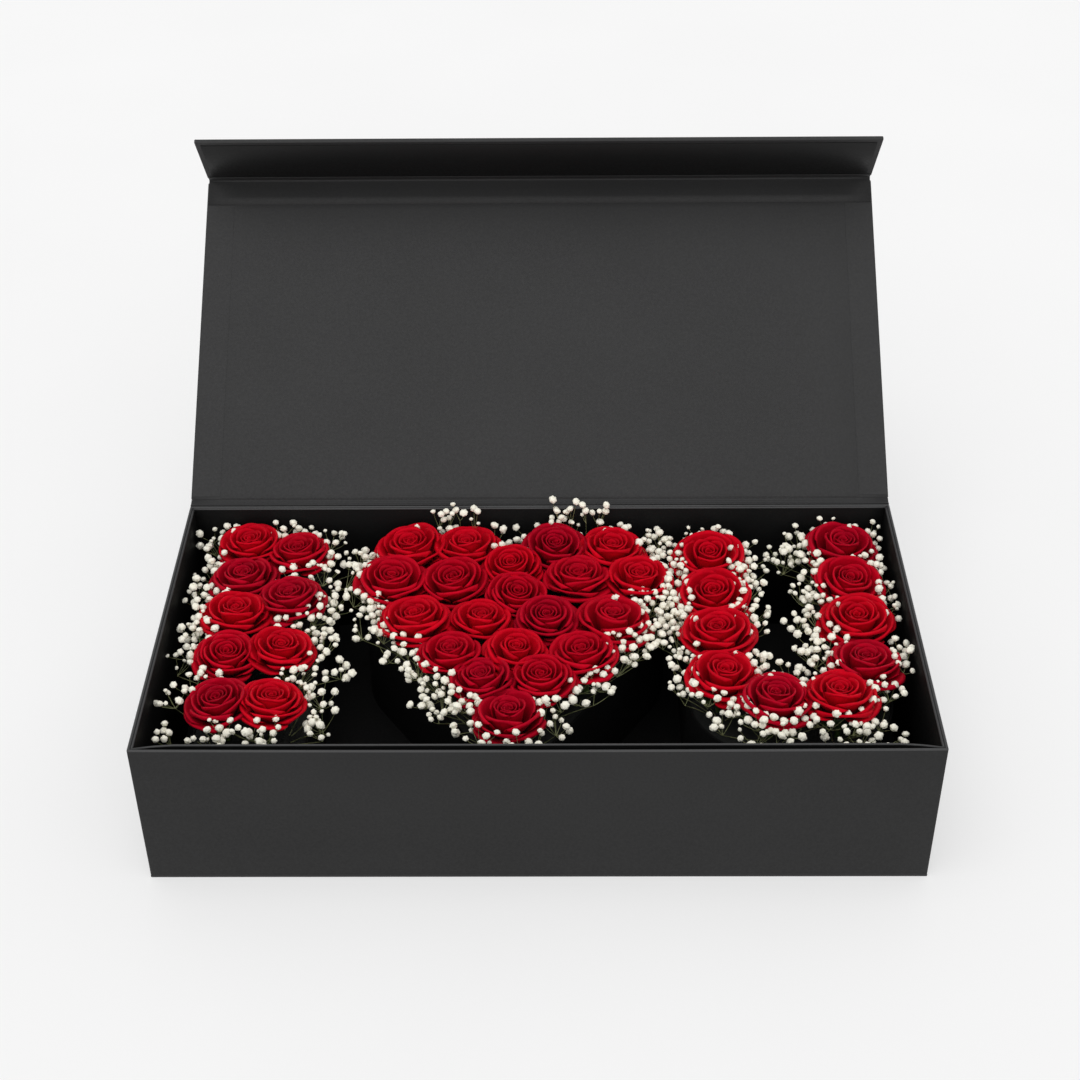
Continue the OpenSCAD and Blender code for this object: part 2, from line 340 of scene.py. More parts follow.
def make_piece(name, points, faces, materials, body=None, uses=None):
    """A smooth mesh object. uses gives each face's material number. Without a body, it stays put."""
    mesh = bpy.data.meshes.new(name)
    mesh.from_pydata([tuple(p) for p in points], [], faces)
    mesh.validate()
    for material in materials:
        mesh.materials.append(material)
    if uses is not None:
        mesh.polygons.foreach_set("material_index", uses)
    mesh.polygons.foreach_set("use_smooth", [True] * len(mesh.polygons))
    mesh.update()
    piece = bpy.data.objects.new(name, mesh)
    bpy.context.scene.collection.objects.link(piece)
    if body:
        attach(piece, body)
    return piece


def soften(piece, width, segments=3):
    """Rounds a piece's hard edges."""
    weld = piece.modifiers.new("weld", "WELD")
    weld.merge_threshold = 1e-6
    bevel = piece.modifiers.new("round", "BEVEL")
    bevel.width = width
    bevel.segments = segments
    bevel.limit_method = "ANGLE"
    bevel.angle_limit = math.radians(40)
    bevel.use_clamp_overlap = True


def bridge_loops(loops):
    """Points and faces of a skin through closed loops of equal length."""
    count = len(loops[0])
    points = [p for loop in loops for p in loop]
    faces = []
    for row in range(len(loops) - 1):
        a, b = row * count, (row + 1) * count
        for i in range(count):
            j = (i + 1) % count
            faces.append((a + i, a + j, b + j, b + i))
    return points, faces


def ease(value):
    """A smooth step from 0 to 1."""
    value = min(max(value, 0.0), 1.0)
    return value * value * (3 - 2 * value)


# ---------------------------------------------------------------- the box's boards

def dress(node, material, width, segments=3):
    """Gives a CAD board its paper and rounds its edges."""
    board = nodes[node]
    board.data.materials.clear()
    board.data.materials.append(material)
    soften(board, width, segments)


TRAY_CORNER = 1.4 * MM      # rounding of the tray's upright edges
CORNER_STEPS = 5
SIDE_STEPS = 26             # points along each wall
FRONT_BOW = 0.9 * MM        # how far the front wall bows out at its rim
FRONT_DEPTH = 4 * MM        # points this close behind the front face belong to the front wall


def rim_loop(inset, height):
    """One loop round the tray, inset from its outside. The front bows out a little near the rim."""
    x, y0, y1 = half_width - inset, box_low.y + inset, box_high.y - inset
    radius = max(TRAY_CORNER - inset, 0.15 * MM)
    right, left, back, front = x - radius, -x + radius, y1 - radius, y0 + radius
    centres = [(right, back), (left, back), (left, front), (right, front)]
    loop = []
    for quarter, (cx, cy) in enumerate(centres):
        for step in range(CORNER_STEPS + 1):
            angle = math.radians(90 * quarter + 90 * step / CORNER_STEPS)
            loop.append((cx + radius * math.cos(angle), cy + radius * math.sin(angle)))
        start = loop[-1]
        next_x, next_y = centres[(quarter + 1) % 4]
        end = (next_x + radius * math.cos(angle), next_y + radius * math.sin(angle))
        for step in range(1, SIDE_STEPS):
            t = step / SIDE_STEPS
            loop.append((start[0] + (end[0] - start[0]) * t, start[1] + (end[1] - start[1]) * t))
    level = ease((height - box_low.z) / (rim - box_low.z))
    bowed = []
    for px, py in loop:
        out = FRONT_BOW * level * (1 - (px / half_width) ** 2) if py < box_low.y + FRONT_DEPTH else 0.0
        bowed.append((px, py - out, height))
    return bowed


def make_tray():
    """The glued-up tray in one skin of paper, rounded over its rim: cover paper outside, a painted
    highlight over the rim, painted shade inside.
    """
    round_r = TRAY_WALL / 2
    sections = [(0.5 * MM, box_low.z), (0.1 * MM, box_low.z + 0.2 * MM), (0, box_low.z + 0.7 * MM)]
    sections += [(0, box_low.z + (rim - round_r - box_low.z) * t) for t in (0.25, 0.5, 0.75, 1.0)]
    outside_rows = len(sections) - 1
    for step in range(1, 6):
        angle = math.radians(180 * step / 6)
        sections.append((
            round_r - round_r * math.cos(angle),
            rim - round_r + round_r * math.sin(angle) * 0.9,
        ))
    sections += [(TRAY_WALL, rim - round_r), (TRAY_WALL, floor_top)]
    loops = [rim_loop(inset, height) for inset, height in sections]
    points, faces = bridge_loops(loops)
    count = len(loops[0])
    last = (len(loops) - 1) * count
    # Cover paper outside, lighter paper over the rounded rim as a painted highlight, near-black paper
    # inside and on the floor as painted shade.
    cover, painted_shade, painted_highlight = range(3)
    rows = [cover] * outside_rows + [painted_highlight] * (len(sections) - 2 - outside_rows) + [painted_shade]
    uses = [row for row in rows for _ in range(count)]
    faces += [tuple(reversed(range(count))), tuple(range(last, last + count))]
    uses += [cover, painted_shade]
    tray = make_piece("tray_wrap", points, faces, [COVER, INSIDE_SHADE, RIM_HIGHLIGHT], "box", uses)
    for polygon in tray.data.polygons[-2:]:
        polygon.use_smooth = False
    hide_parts("tray_shell")


FRONT_BEND = 22 * MM        # length over which the front panel bends out to the wall at each end
MITRE_GAP = 0.06 * MM       # seam at each corner of the inner frame
PANEL_STEPS = 40


def make_inner_frame():
    """Four lining panels with mitred corners. The front one bends to meet the wall at each end."""
    low, high = frame_low, frame_high
    front, back = box_low.y + TRAY_WALL + 0.05 * MM, high.y
    stand_off = low.y - front
    middle = low.z + (high.z - low.z) * 0.5
    round_r = FRAME_THICK / 2
    round_z = high.z - round_r
    profile = [(0, low.z), (0, middle), (0, round_z)]
    profile += [
        (round_r - round_r * math.cos(a), round_z + round_r * math.sin(a))
        for a in (math.radians(30 * k) for k in range(1, 6))
    ]
    profile += [(FRAME_THICK, round_z), (FRAME_THICK, middle), (FRAME_THICK, low.z)]
    count = len(profile)
    corners = [Vector(p) for p in ((high.x, front), (high.x, back), (-high.x, back), (-high.x, front))]
    painted_shade, painted_highlight = range(2)
    points, faces, uses = [], [], []
    for i, corner in enumerate(corners):
        side = corners[(i + 1) % 4] - corner
        along, length = side.normalized(), side.length
        inward = Vector((-along.y, along.x))
        base = len(points)
        for s in range(PANEL_STEPS + 1):
            t = s / PANEL_STEPS
            near = min(t, 1 - t) * length
            bend = stand_off * ease(near / FRONT_BEND) if i == 3 else 0.0
            for inset, height in profile:
                start = inset + MITRE_GAP
                place = corner + along * (start + (length - 2 * start) * t) + inward * (inset + bend)
                points.append((place.x, place.y, height))
        for s in range(PANEL_STEPS):
            for k in range(count):
                a, b = base + s * count + k, base + s * count + (k + 1) % count
                faces.append((a, a + count, b + count, b))
                # Each panel's rounded top gets the lighter paper as a painted highlight; its faces, also
                # down in the groove by the wall, get near-black paper as painted shade.
                uses.append(painted_highlight if 2 <= k < count - 3 else painted_shade)
        faces.append(tuple(range(base, base + count)))
        end = base + PANEL_STEPS * count
        faces.append(tuple(reversed(range(end, end + count))))
        uses += [painted_shade, painted_shade]
    panels = make_piece(
        "inner_frame_panels", points, faces, [INSIDE_SHADE, RIM_HIGHLIGHT], "box", uses,
    )
    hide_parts("inner_frame")


STRIP_STEPS = 24


def strip_piece(name, path, thickness, half, material, wave, seed):
    """A paper strip along X, half its length to each side, whose section follows (y, z) points.

    wave is the height of its long, shallow ripples.
    """
    path = [Vector(p) for p in path]
    chance = random.Random(seed)
    first, second = chance.uniform(0, 6.28), chance.uniform(0, 6.28)
    sides = []
    for i in range(len(path)):
        tangent = (path[min(i + 1, len(path) - 1)] - path[max(i - 1, 0)]).normalized()
        sides.append(Vector((-tangent.y, tangent.x)) * thickness / 2)
    loop = [p + side for p, side in zip(path, sides)]
    loop += [p - side for p, side in zip(reversed(path), reversed(sides))]
    count = len(loop)
    points, faces = [], []
    for s in range(STRIP_STEPS + 1):
        x = -half + 2 * half * s / STRIP_STEPS
        sway = wave * (math.sin(x * 23 + first) + 0.5 * math.sin(x * 61 + second))
        points += [(x, p.x, p.y + sway) for p in loop]
    for s in range(STRIP_STEPS):
        for k in range(count):
            a, b = s * count + k, s * count + (k + 1) % count
            faces.append((a, b, b + count, a + count))
    faces.append(tuple(reversed(range(count))))
    faces.append(tuple(range(STRIP_STEPS * count, (STRIP_STEPS + 1) * count)))
    return make_piece(name, points, faces, [material])


def bend_path(corner, toward_a, toward_b, reach_a, reach_b, radius, steps):
    """(y, z) points from reach_a along one side of a corner, round it, to reach_b along the other."""
    corner, a, b = Vector(corner), Vector(toward_a).normalized(), Vector(toward_b).normalized()
    half_angle = math.acos(a.dot(b)) / 2
    tangent = radius / math.tan(half_angle)
    centre = corner + (a + b).normalized() * radius / math.sin(half_angle)
    path = [corner + a * (reach_a + (tangent - reach_a) * t) for t in (0, 0.35, 0.7)]
    start = corner + a * tangent - centre
    end = corner + b * tangent - centre
    sweep = math.atan2(start.x * end.y - start.y * end.x, start.dot(end))
    for step in range(steps + 1):
        cos, sin = math.cos(sweep * step / steps), math.sin(sweep * step / steps)
        path.append(centre + Vector((start.x * cos - start.y * sin, start.x * sin + start.y * cos)))
    path += [corner + b * (tangent + (reach_b - tangent) * t) for t in (0.3, 0.65, 1)]
    return path


def yz(point):
    return Vector((point.y, point.z))


# Directions in (y, z): along the open lid from its fold, out of its inner face, and along the flap
lid_along = Vector((math.cos(math.pi - lid_open), math.sin(math.pi - lid_open)))
lid_inner = Vector((-lid_along.y, lid_along.x))
flap_along = lid_inner

LID_DEPTH = 3.5             # from the lid's inner face to its outer one, in mm
PROUD = 0.03                # how far a covering strip's middle lies above its board, in mm
SUNK = 0.17                 # how far below it its far ends run out of sight, in mm
INNER_HALF = half_width - 1 * MM
OUTER_HALF = half_width - 0.2 * MM
LINING_RUN = (4.0, 245.4)   # where the lid's lining starts and ends, in mm from the lid's fold
LINING_DEPTH = 0.5 * MM

# Places on the lid, in mm: how far from the fold, and how deep below the lid's inner face
INNER_GROOVE = [
    (0.9, 0.50), (1.6, 0.95), (2.4, 1.10), (3.0, 0.95), (3.4, 0.60), (3.8, 0.37), (5.5, 0.37),
]
OUTER_GUTTER = [
    (0.9, 0.9), (1.6, 1.3), (2.4, 1.45), (3.0, 1.6), (3.27, 2.2), (3.32, 2.9), (3.5, 3.35),
    (4.2, LID_DEPTH + PROUD), (12, LID_DEPTH + PROUD), (22, LID_DEPTH + PROUD), (37, LID_DEPTH - SUNK),
]
# Places on the spine, in mm: how far out from its back face, and how far below the lid's fold
SPINE_RISE = [(-SUNK, 37), (PROUD, 22), (PROUD, 12), (PROUD, 4), (PROUD, 1.6), (0.1, 0.7)]


def on_lid(along, deep):
    """A (y, z) point on the lid, from its distance to the fold and its depth, both in mm."""
    return yz(hinge) + lid_along * along * MM - lid_inner * deep * MM


def make_lid_fold():
    """The paper over the lid's fold, inside and out, and the lining that runs down to it."""
    corner = yz(hinge) - lid_inner * PAPER / 2
    path = bend_path(corner, (-1, 0), lid_along, 2.6 * MM, 0.5 * MM, 0.3 * MM, 4)
    path += [on_lid(along, deep) for along, deep in INNER_GROOVE]
    inner = strip_piece("lid_fold_inner", path, PAPER, INNER_HALF, LINING, 0.03 * MM, 3)
    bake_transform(inner)
    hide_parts("lid_hinge")

    low, high = LINING_RUN
    path = [on_lid(low + (high - low) * t, 0.25) for t in (0, 0.02, 0.25, 0.5, 0.75, 0.98, 1)]
    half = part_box("lid_lining")[1].x
    sheet = strip_piece(
        "lid_lining_sheet", path, LINING_DEPTH, half, LINING, 0.03 * MM, 13,
    )
    soften(sheet, 0.12 * MM, 2)
    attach(sheet, "lid")
    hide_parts("lid_lining")

    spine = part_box("case_spine")[1].y
    path = [Vector((spine + out * MM, hinge.z - below * MM)) for out, below in SPINE_RISE]
    path += [on_lid(along, deep) for along, deep in OUTER_GUTTER]
    outer = strip_piece("lid_fold_outer", path, PAPER, OUTER_HALF, CASE, 0.015 * MM, 5)
    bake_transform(outer)


def make_flap_fold():
    """The paper over the flap's fold, inside and out."""
    corner = yz(flap_fold)
    path = bend_path(corner, -lid_along, flap_along, 21 * MM, 5.2 * MM, 1.6 * MM, 8)
    inner = strip_piece("flap_fold_inner", path, PAPER, INNER_HALF, STRIP, 0.05 * MM, 9)
    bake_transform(inner)
    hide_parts("flap_hinge")

    skin, sink = (LID_DEPTH + PROUD) * MM, (PROUD + SUNK) * MM
    corner += lid_along * skin - lid_inner * skin
    path = [corner - lid_along * 35 * MM + lid_inner * sink]
    path += bend_path(corner, -lid_along, flap_along, 20 * MM, 20 * MM, 3.2 * MM, 10)
    path += [corner + flap_along * 35 * MM - lid_along * sink]
    outer = strip_piece("flap_fold_outer", path, PAPER, OUTER_HALF, CASE, 0.015 * MM, 11)
    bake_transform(outer)


def make_boards():
    """Papers the CAD boards and planters, and finishes the foam and the steel."""
    dress("case_base", CASE, CASE_EDGE)
    dress("case_spine", CASE, CASE_EDGE)
    dress("lid_board", CASE, BOARD_EDGE)
    dress("flap_board", CASE, BOARD_EDGE)
    # The flap's lining gets the darker copy of the lining paper as painted shade.
    dress("flap_lining", FLAP_LINING_SHADE, 0.15 * MM, 2)
    # The planters get the near-black card as painted shade.
    for node in ("bar_planter", "heart_planter", "u_planter"):
        dress(node, CARD_SHADE, 0.25 * MM, 2)
    for node in ("bar_foam", "heart_foam", "u_foam"):
        dress(node, FOAM, 0.5 * MM, 2)
    for node in ("catch_plates", "flap_magnets"):
        dress(node, STEEL, 0.15 * MM, 2)


# ---------------------------------------------------------------- roses

# Rings of petals from the bud outwards: how many, and for the ring's first and last petal the radius
# below its rim, its height, how far it opens like a saucer, the size of its rolled rim, and its half
# angle. The petals between follow evenly. Lengths are shares of the head's radius, angles are in
# degrees. Shade sets how far painted shade darkens the ring's petals, on average, most in the bud.
RING_KEYS = ("out", "top", "flare", "lip", "wide")
PETAL_RINGS = [
    dict(
        count=8, out=(0.06, 0.36), top=(-0.14, -0.03), flare=(0.00, 0.12), lip=(0.008, 0.020),
        wide=(150, 92), shade=0.62,
    ),
    dict(
        count=4, out=(0.43, 0.60), top=(0.01, -0.03), flare=(0.16, 0.32), lip=(0.025, 0.042),
        wide=(84, 76), shade=0.34,
    ),
    dict(
        count=5, out=(0.74, 0.96), top=(-0.05, -0.18), flare=(0.32, 0.50), lip=(0.042, 0.060),
        wide=(68, 60), shade=0.22,
    ),
    dict(
        count=6, out=(1.02, 1.16), top=(-0.28, -0.60), flare=(0.52, 0.74), lip=(0.045, 0.060),
        wide=(62, 54), shade=0.40,
    ),
]
BUD_RINGS = 2               # the rings that make up the bud
GOLDEN_ANGLE = math.radians(137.5)
HEAD_DEPTH = 1.25           # from the head's top to the petals' feet, as a share of its radius
FOOT_RADIUS = 0.08          # where the petals' feet meet, as a share of the head's radius
LIP_START = 0.86            # where along a petal its rim starts to roll out
LIP_ROLL = 1.7              # how far the rim rolls, in radians
WIDEST = 0.6                # where along a petal it is widest
FOOT_WIDTH = 0.40           # width at the foot, as a share of the widest
TIP_ROUNDING = 0.62         # how much of its width a petal loses towards its rim

# Slow waves over a petal: height as a share of the head's radius, and how many radians across half of it
WAVE_OUT = (0.016, 2.3)
WAVE_UP = (0.020, 2.9)
RUFFLE = (0.009, 7.3)

# The green under a head, as (radius, height) shares of the head's radius
CALYX = [(0.10, -1.10), (0.20, -1.20), (0.22, -1.32), (0.15, -1.44), (0.11, -1.50)]
STEM_RADIUS = 2.0 * MM
STEM_SIDES = 12
STEM_DEPTH = 25 * MM        # how far a rose's stem runs into the foam
SEPALS = 5
SEPAL_ROWS = 6


def between(ends, share):
    return ends[0] + (ends[1] - ends[0]) * share


class Rose:
    """Builds one rose head, petal by petal, as points, faces and petal attributes."""

    ACROSS = 16
    ALONG = 14

    def __init__(self, seed, radius):
        self.chance = random.Random(seed)
        self.radius = radius
        self.points, self.faces, self.uses = [], [], []
        self.along, self.across, self.tone = [], [], []

    def add(self, point, along=0.0, across=0.5, tone=0.5):
        self.points.append(point)
        self.along.append(along)
        self.across.append(across)
        self.tone.append(tone)

    def petal(self, turn, out, top, flare, lip, wide, tone):
        """One broad petal round the axis, its middle at the angle turn, the rest as in PETAL_RINGS."""
        chance, radius = self.chance, self.radius
        base = len(self.points)
        waves = [chance.uniform(0, 6.28) for _ in range(3)]
        slip = 0.035 * radius * chance.uniform(0.5, 1.3)
        droop = chance.uniform(0.06, 0.16)
        point = chance.uniform(0.0, 0.035) * radius * flare
        foot, foot_r = -HEAD_DEPTH * radius, FOOT_RADIUS * radius
        for row in range(self.ALONG + 1):
            v = row / self.ALONG
            body = min(v / LIP_START, 1.0)
            roll = LIP_ROLL * max(v - LIP_START, 0) / (1 - LIP_START)
            bend = body * math.pi / 2
            rise = (1 - flare) * (1 - math.cos(bend)) + flare * math.sin(bend)
            reach = (1 - flare) * math.sin(bend) + flare * body ** 1.15
            belly = math.sin(min(v / WIDEST, 1.0) * math.pi / 2)
            close = max(v - WIDEST, 0) / (1 - WIDEST)
            spread = FOOT_WIDTH + (1 - FOOT_WIDTH) * belly
            spread *= math.sqrt(1 - TIP_ROUNDING * close ** 2.2)
            for column in range(self.ACROSS + 1):
                u = 2 * column / self.ACROSS - 1
                angle = turn + u * wide * spread
                r = foot_r + (out - foot_r) * reach + lip * math.sin(roll)
                r += slip * u * (0.3 + 0.7 * v)
                r += WAVE_OUT[0] * radius * math.sin(WAVE_OUT[1] * u + waves[0]) * v * v
                r += point * math.exp(-(u / 0.3) ** 2) * close
                r = max(r, 0.004 * radius)
                z = foot + (top - foot) * rise - lip * (1 - math.cos(roll))
                z -= (top - foot) * droop * abs(u) ** 2.6 * v
                z += WAVE_UP[0] * radius * math.sin(WAVE_UP[1] * u + waves[1]) * v ** 3
                z += RUFFLE[0] * radius * math.sin(RUFFLE[1] * u + waves[2]) * close
                self.add((r * math.cos(angle), r * math.sin(angle), z), v, (u + 1) / 2 + turn, tone)
        stride = self.ACROSS + 1
        for row in range(self.ALONG):
            for column in range(self.ACROSS):
                a = base + row * stride + column
                self.faces.append((a, a + 1, a + stride + 1, a + stride))
                self.uses.append(0)

    def head(self):
        """All petals, from the tight bud to the open outer ones."""
        chance, radius = self.chance, self.radius
        turn = chance.uniform(0, 6.28)
        openness = chance.uniform(0.82, 1.12)
        bud = chance.uniform(0.88, 1.10)
        for number, ring in enumerate(PETAL_RINGS):
            for k in range(ring["count"]):
                share = k / (ring["count"] - 1)
                out, top, flare, lip, wide = (between(ring[key], share) for key in RING_KEYS)
                turn += GOLDEN_ANGLE + chance.uniform(-0.15, 0.15)
                out *= bud if number < BUD_RINGS else 1.0
                self.petal(
                    turn,
                    out * radius * chance.uniform(0.97, 1.03),
                    (top + chance.uniform(-0.025, 0.025)) * radius,
                    flare * openness,
                    lip * radius * chance.uniform(0.75, 1.3),
                    math.radians(wide + chance.uniform(-5, 5)),
                    ring["shade"] * chance.uniform(0.4, 1.5),
                )

    def green(self, drop):
        """Calyx, sepals and the stem that runs down into the foam."""
        radius = self.radius
        levels = [(r * radius, z * radius) for r, z in CALYX]
        levels += [(STEM_RADIUS, -1.55 * radius), (STEM_RADIUS * 0.95, -1.9 * radius)]
        levels.append((STEM_RADIUS, drop))
        base = len(self.points)
        for r, z in levels:
            for k in range(STEM_SIDES):
                angle = 2 * math.pi * k / STEM_SIDES
                self.add((r * math.cos(angle), r * math.sin(angle), z))
        for row in range(len(levels) - 1):
            for k in range(STEM_SIDES):
                a, b = (base + row * STEM_SIDES + i for i in (k, (k + 1) % STEM_SIDES))
                self.faces.append((a, a + STEM_SIDES, b + STEM_SIDES, b))
                self.uses.append(1)
        self.faces.append(tuple(range(base, base + STEM_SIDES)))
        end = base + (len(levels) - 1) * STEM_SIDES
        self.faces.append(tuple(reversed(range(end, end + STEM_SIDES))))
        self.uses += [1, 1]
        for k in range(SEPALS):
            self.sepal(2 * math.pi * k / SEPALS + self.chance.uniform(-0.2, 0.2))

    def sepal(self, turn):
        """One pointed green leaf under the head."""
        radius = self.radius
        reach = radius * self.chance.uniform(0.45, 0.65)
        base = len(self.points)
        for row in range(SEPAL_ROWS + 1):
            v = row / SEPAL_ROWS
            width = radius * 0.15 * math.sin(math.pi * min(v * 0.9 + 0.12, 1.0))
            r = 0.20 * radius + reach * v
            z = (-1.27 + 0.16 * math.sin(v * 2.2)) * radius
            for column in (-1, 0, 1):
                x = r * math.cos(turn) - column * width * math.sin(turn)
                y = r * math.sin(turn) + column * width * math.cos(turn)
                self.add((x, y, z - 0.02 * radius * (1 - abs(column))))
        for row in range(SEPAL_ROWS):
            for column in range(2):
                a = base + row * 3 + column
                self.faces.append((a, a + 1, a + 4, a + 3))
                self.uses.append(1)


HEAD_SPREAD = 1.14          # a bloom's radius as a share of its CAD head's
HEAD_RADIUS = (20.4 * MM, 23.8 * MM)
HEAD_TILT = 0.12            # most that a head leans each way, in radians
PETAL_THICK = 0.4 * MM


def make_rose(node, seed):
    """A rose in full bloom that stands for its CAD solid."""
    x, y, widest, top = bloom_spot(node)
    chance = random.Random(seed * 7 + 1)
    smallest, largest = HEAD_RADIUS
    radius = min(max(widest * HEAD_SPREAD, smallest), largest) * chance.uniform(0.97, 1.02)
    rose = Rose(seed, radius)
    rose.head()
    rose.green(foam_top - STEM_DEPTH - top)
    lean = Matrix.Rotation(chance.uniform(-HEAD_TILT, HEAD_TILT), 4, "X")
    lean = lean @ Matrix.Rotation(chance.uniform(-HEAD_TILT, HEAD_TILT), 4, "Y")
    pivot = Matrix.Translation((0, 0, -0.4 * radius))
    place = Matrix.Translation((x, y, top - 0.5 * MM)) @ pivot @ lean @ pivot.inverted()
    points = [place @ Vector(p) for p in rose.points]
    materials = [PETALS[chance.choice(RED_CHOICES)], STALK]
    piece = make_piece(node + "_bloom", points, rose.faces, materials, "box", rose.uses)
    for name in ("along", "across", "tone"):
        attribute = piece.data.attributes.new("petal_" + name, "FLOAT", "POINT")
        attribute.data.foreach_set("value", getattr(rose, name))
    solid = piece.modifiers.new("thickness", "SOLIDIFY")
    solid.thickness = PETAL_THICK
    solid.offset = 0
    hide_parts(node)


def make_roses():
    for number, members in enumerate(GROUPS.values()):
        for i, node in enumerate(members):
            make_rose(node, 100 * (number + 1) + i)


# ---------------------------------------------------------------- baby's breath

ROSE_EDGE = 20.5 * MM       # a rose head's usual radius
BLOSSOM_SIZES = [radius * MM for radius in (1.5, 2.0, 2.3, 2.5, 2.7, 2.9, 3.1)]
STEM = 0.42 * MM            # radius of a spray's main stem
TWIG = 0.24 * MM            # radius of the twig under a blossom
FORK_SPACING = 7.5 * MM     # least distance between two forks
BALL_LEVELS = 3             # subdivisions of the ball that a blossom starts from


def ball_mesh():
    """A unit icosphere as arrays of points and triangles."""
    bm = bmesh.new()
    bmesh.ops.create_icosphere(bm, subdivisions=BALL_LEVELS, radius=1)
    points = np.array([v.co for v in bm.verts])
    faces = np.array([[v.index for v in f.verts] for f in bm.faces])
    bm.free()
    return points, faces


BALL_POINTS, BALL_FACES = ball_mesh()


class Sprigs:
    """Gathers blossoms, buds and stems of baby's breath into one mesh."""

    def __init__(self, seed):
        self.chance = random.Random(seed)
        self.points, self.faces, self.uses, self.folds = [], [], [], []
        self.count = 0

    def blossom(self, centre, radius):
        """A crumpled double blossom: a ball cut by rings of small folded petals."""
        chance = self.chance
        axis = Vector((chance.gauss(0, 0.5), chance.gauss(0, 0.5), 1)).normalized()
        turn = np.array(axis.to_track_quat("Z", "Y").to_matrix())
        p = BALL_POINTS
        angle = np.arctan2(p[:, 1], p[:, 0])
        height = p[:, 2]
        petals = chance.choice((5, 6, 7))
        phase = chance.uniform(0, 6.28)
        low = np.abs(np.sin(angle * petals / 2 + phase))
        high = np.abs(np.sin(angle * (petals - 1) / 2 + phase * 1.7 + 2.1 * height))
        ring = np.abs(np.sin(height * 4.3 + phase))
        fold = np.clip(0.45 * low ** 0.6 + 0.35 * high ** 0.6 * (height > -0.2) + 0.28 * ring, 0, 1)
        size = radius * (0.62 + 0.45 * fold)
        squash = np.array([1, 1, chance.uniform(0.78, 0.95)])
        placed = (p * size[:, None] * squash) @ turn.T + np.array(centre)
        self.keep(placed, (BALL_FACES + self.count).tolist(), 0, fold)
        HEADS.append((centre, radius))

    def keep(self, points, faces, use, fold):
        self.points.append(points)
        self.faces += faces
        self.uses += [use] * len(faces)
        self.folds.append(fold)
        self.count += len(points)

    def stem(self, start, end, thick, sag, sides=5, steps=4):
        """A thin stem that tapers along a gentle curve from start to end."""
        start, end = Vector(start), Vector(end)
        line = end - start
        side = line.cross(Vector((0.3, 0.2, 1))).normalized()
        other = line.cross(side).normalized()
        rings = []
        for step in range(steps + 1):
            t = step / steps
            middle = start + line * t + Vector((0, 0, -sag * 4 * t * (1 - t)))
            r = thick * (1 - 0.35 * t)
            rings.append([
                tuple(middle + side * r * math.cos(a) + other * r * math.sin(a))
                for a in (2 * math.pi * k / sides for k in range(sides))
            ])
        points, faces = bridge_loops(rings)
        count = len(points)
        faces.append(tuple(range(sides)))
        faces.append(tuple(reversed(range(count - sides, count))))
        faces = [tuple(i + self.count for i in face) for face in faces]
        self.keep(np.array(points), faces, 1, np.full(count, 0.5))

    def piece(self, name, *replaced):
        piece = make_piece(
            name, np.vstack(self.points), self.faces, [BLOSSOM, SPRIG], "box", self.uses
        )
        attribute = piece.data.attributes.new("fold_depth", "FLOAT", "POINT")
        attribute.data.foreach_set("value", np.concatenate(self.folds).tolist())
        if replaced:
            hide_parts(*replaced)
        return piece


REACH = 24 * MM             # how far from the roses baby's breath stands
NEAR = 52 * MM              # roses within this distance decide whether a point is outside its group
OPEN_ANGLE = math.radians(165)
HEADS = []                  # every blossom's centre and radius


def clearance(x, y, spots):
    """Distance from a point to the edge of the nearest rose among spots, below 0 over a rose."""
    return min(math.hypot(x - sx, y - sy) - ROSE_EDGE for sx, sy, _, _ in spots)


def outside(x, y, spots):
    """True where no roses of the group stand on one whole side of a point."""
    turns = sorted(
        math.atan2(sy - y, sx - x) for sx, sy, _, _ in spots if math.hypot(x - sx, y - sy) < NEAR
    )
    if not turns:
        return False
    gaps = [b - a for a, b in zip(turns, turns[1:] + [turns[0] + 2 * math.pi])]
    return max(gaps) > OPEN_ANGLE


def inside_tray(x, y, margin):
    """True where a point stands clear of the inner frame by margin."""
    return (
        abs(x) < frame_high.x - FRAME_THICK - margin
        and frame_low.y + FRAME_THICK + margin < y < frame_high.y - FRAME_THICK - margin
    )


def room_for(centre, size):
    """True where a blossom would no more than lightly press on those already there."""
    return all((centre - other).length > (size + r) * 0.92 for other, r in HEADS)


OVER_ROSE = (1 * MM, 4 * MM)    # how far in over a rose's edge a blossom may stand, usually and at times
STRAY_SHARE = 0.07          # share of blossoms that may stand further in
BESIDE_ROSE = 1.5 * MM      # blossoms closer to a rose than this are lifted to its petals
LIFTED = 11 * MM            # how far below the rim those stand, at the least
TREE = 16 * MM              # height of a fork's cluster
SPREAD = 12.5 * MM          # and its radius
FORK_DROP = (21, 28)        # how far below the rim a fork stands, in mm
FLAT_BAND = 6 * MM          # beyond this distance from the roses, forks stand lower
FALL = 0.45                 # by this much of the distance
TALL_SHARES = (0.17, 0.21, 0.26, 0.32, 0.68, 0.73, 0.79, 0.84)  # across the heart, behind its lobes
CLUSTERS = {"bar": 54, "heart": 70, "u": 96}
MOST_TRIES = 30000          # for a group's forks
ROOT_DEPTH = 2 * MM         # how far a spray's stem is pushed into the foam


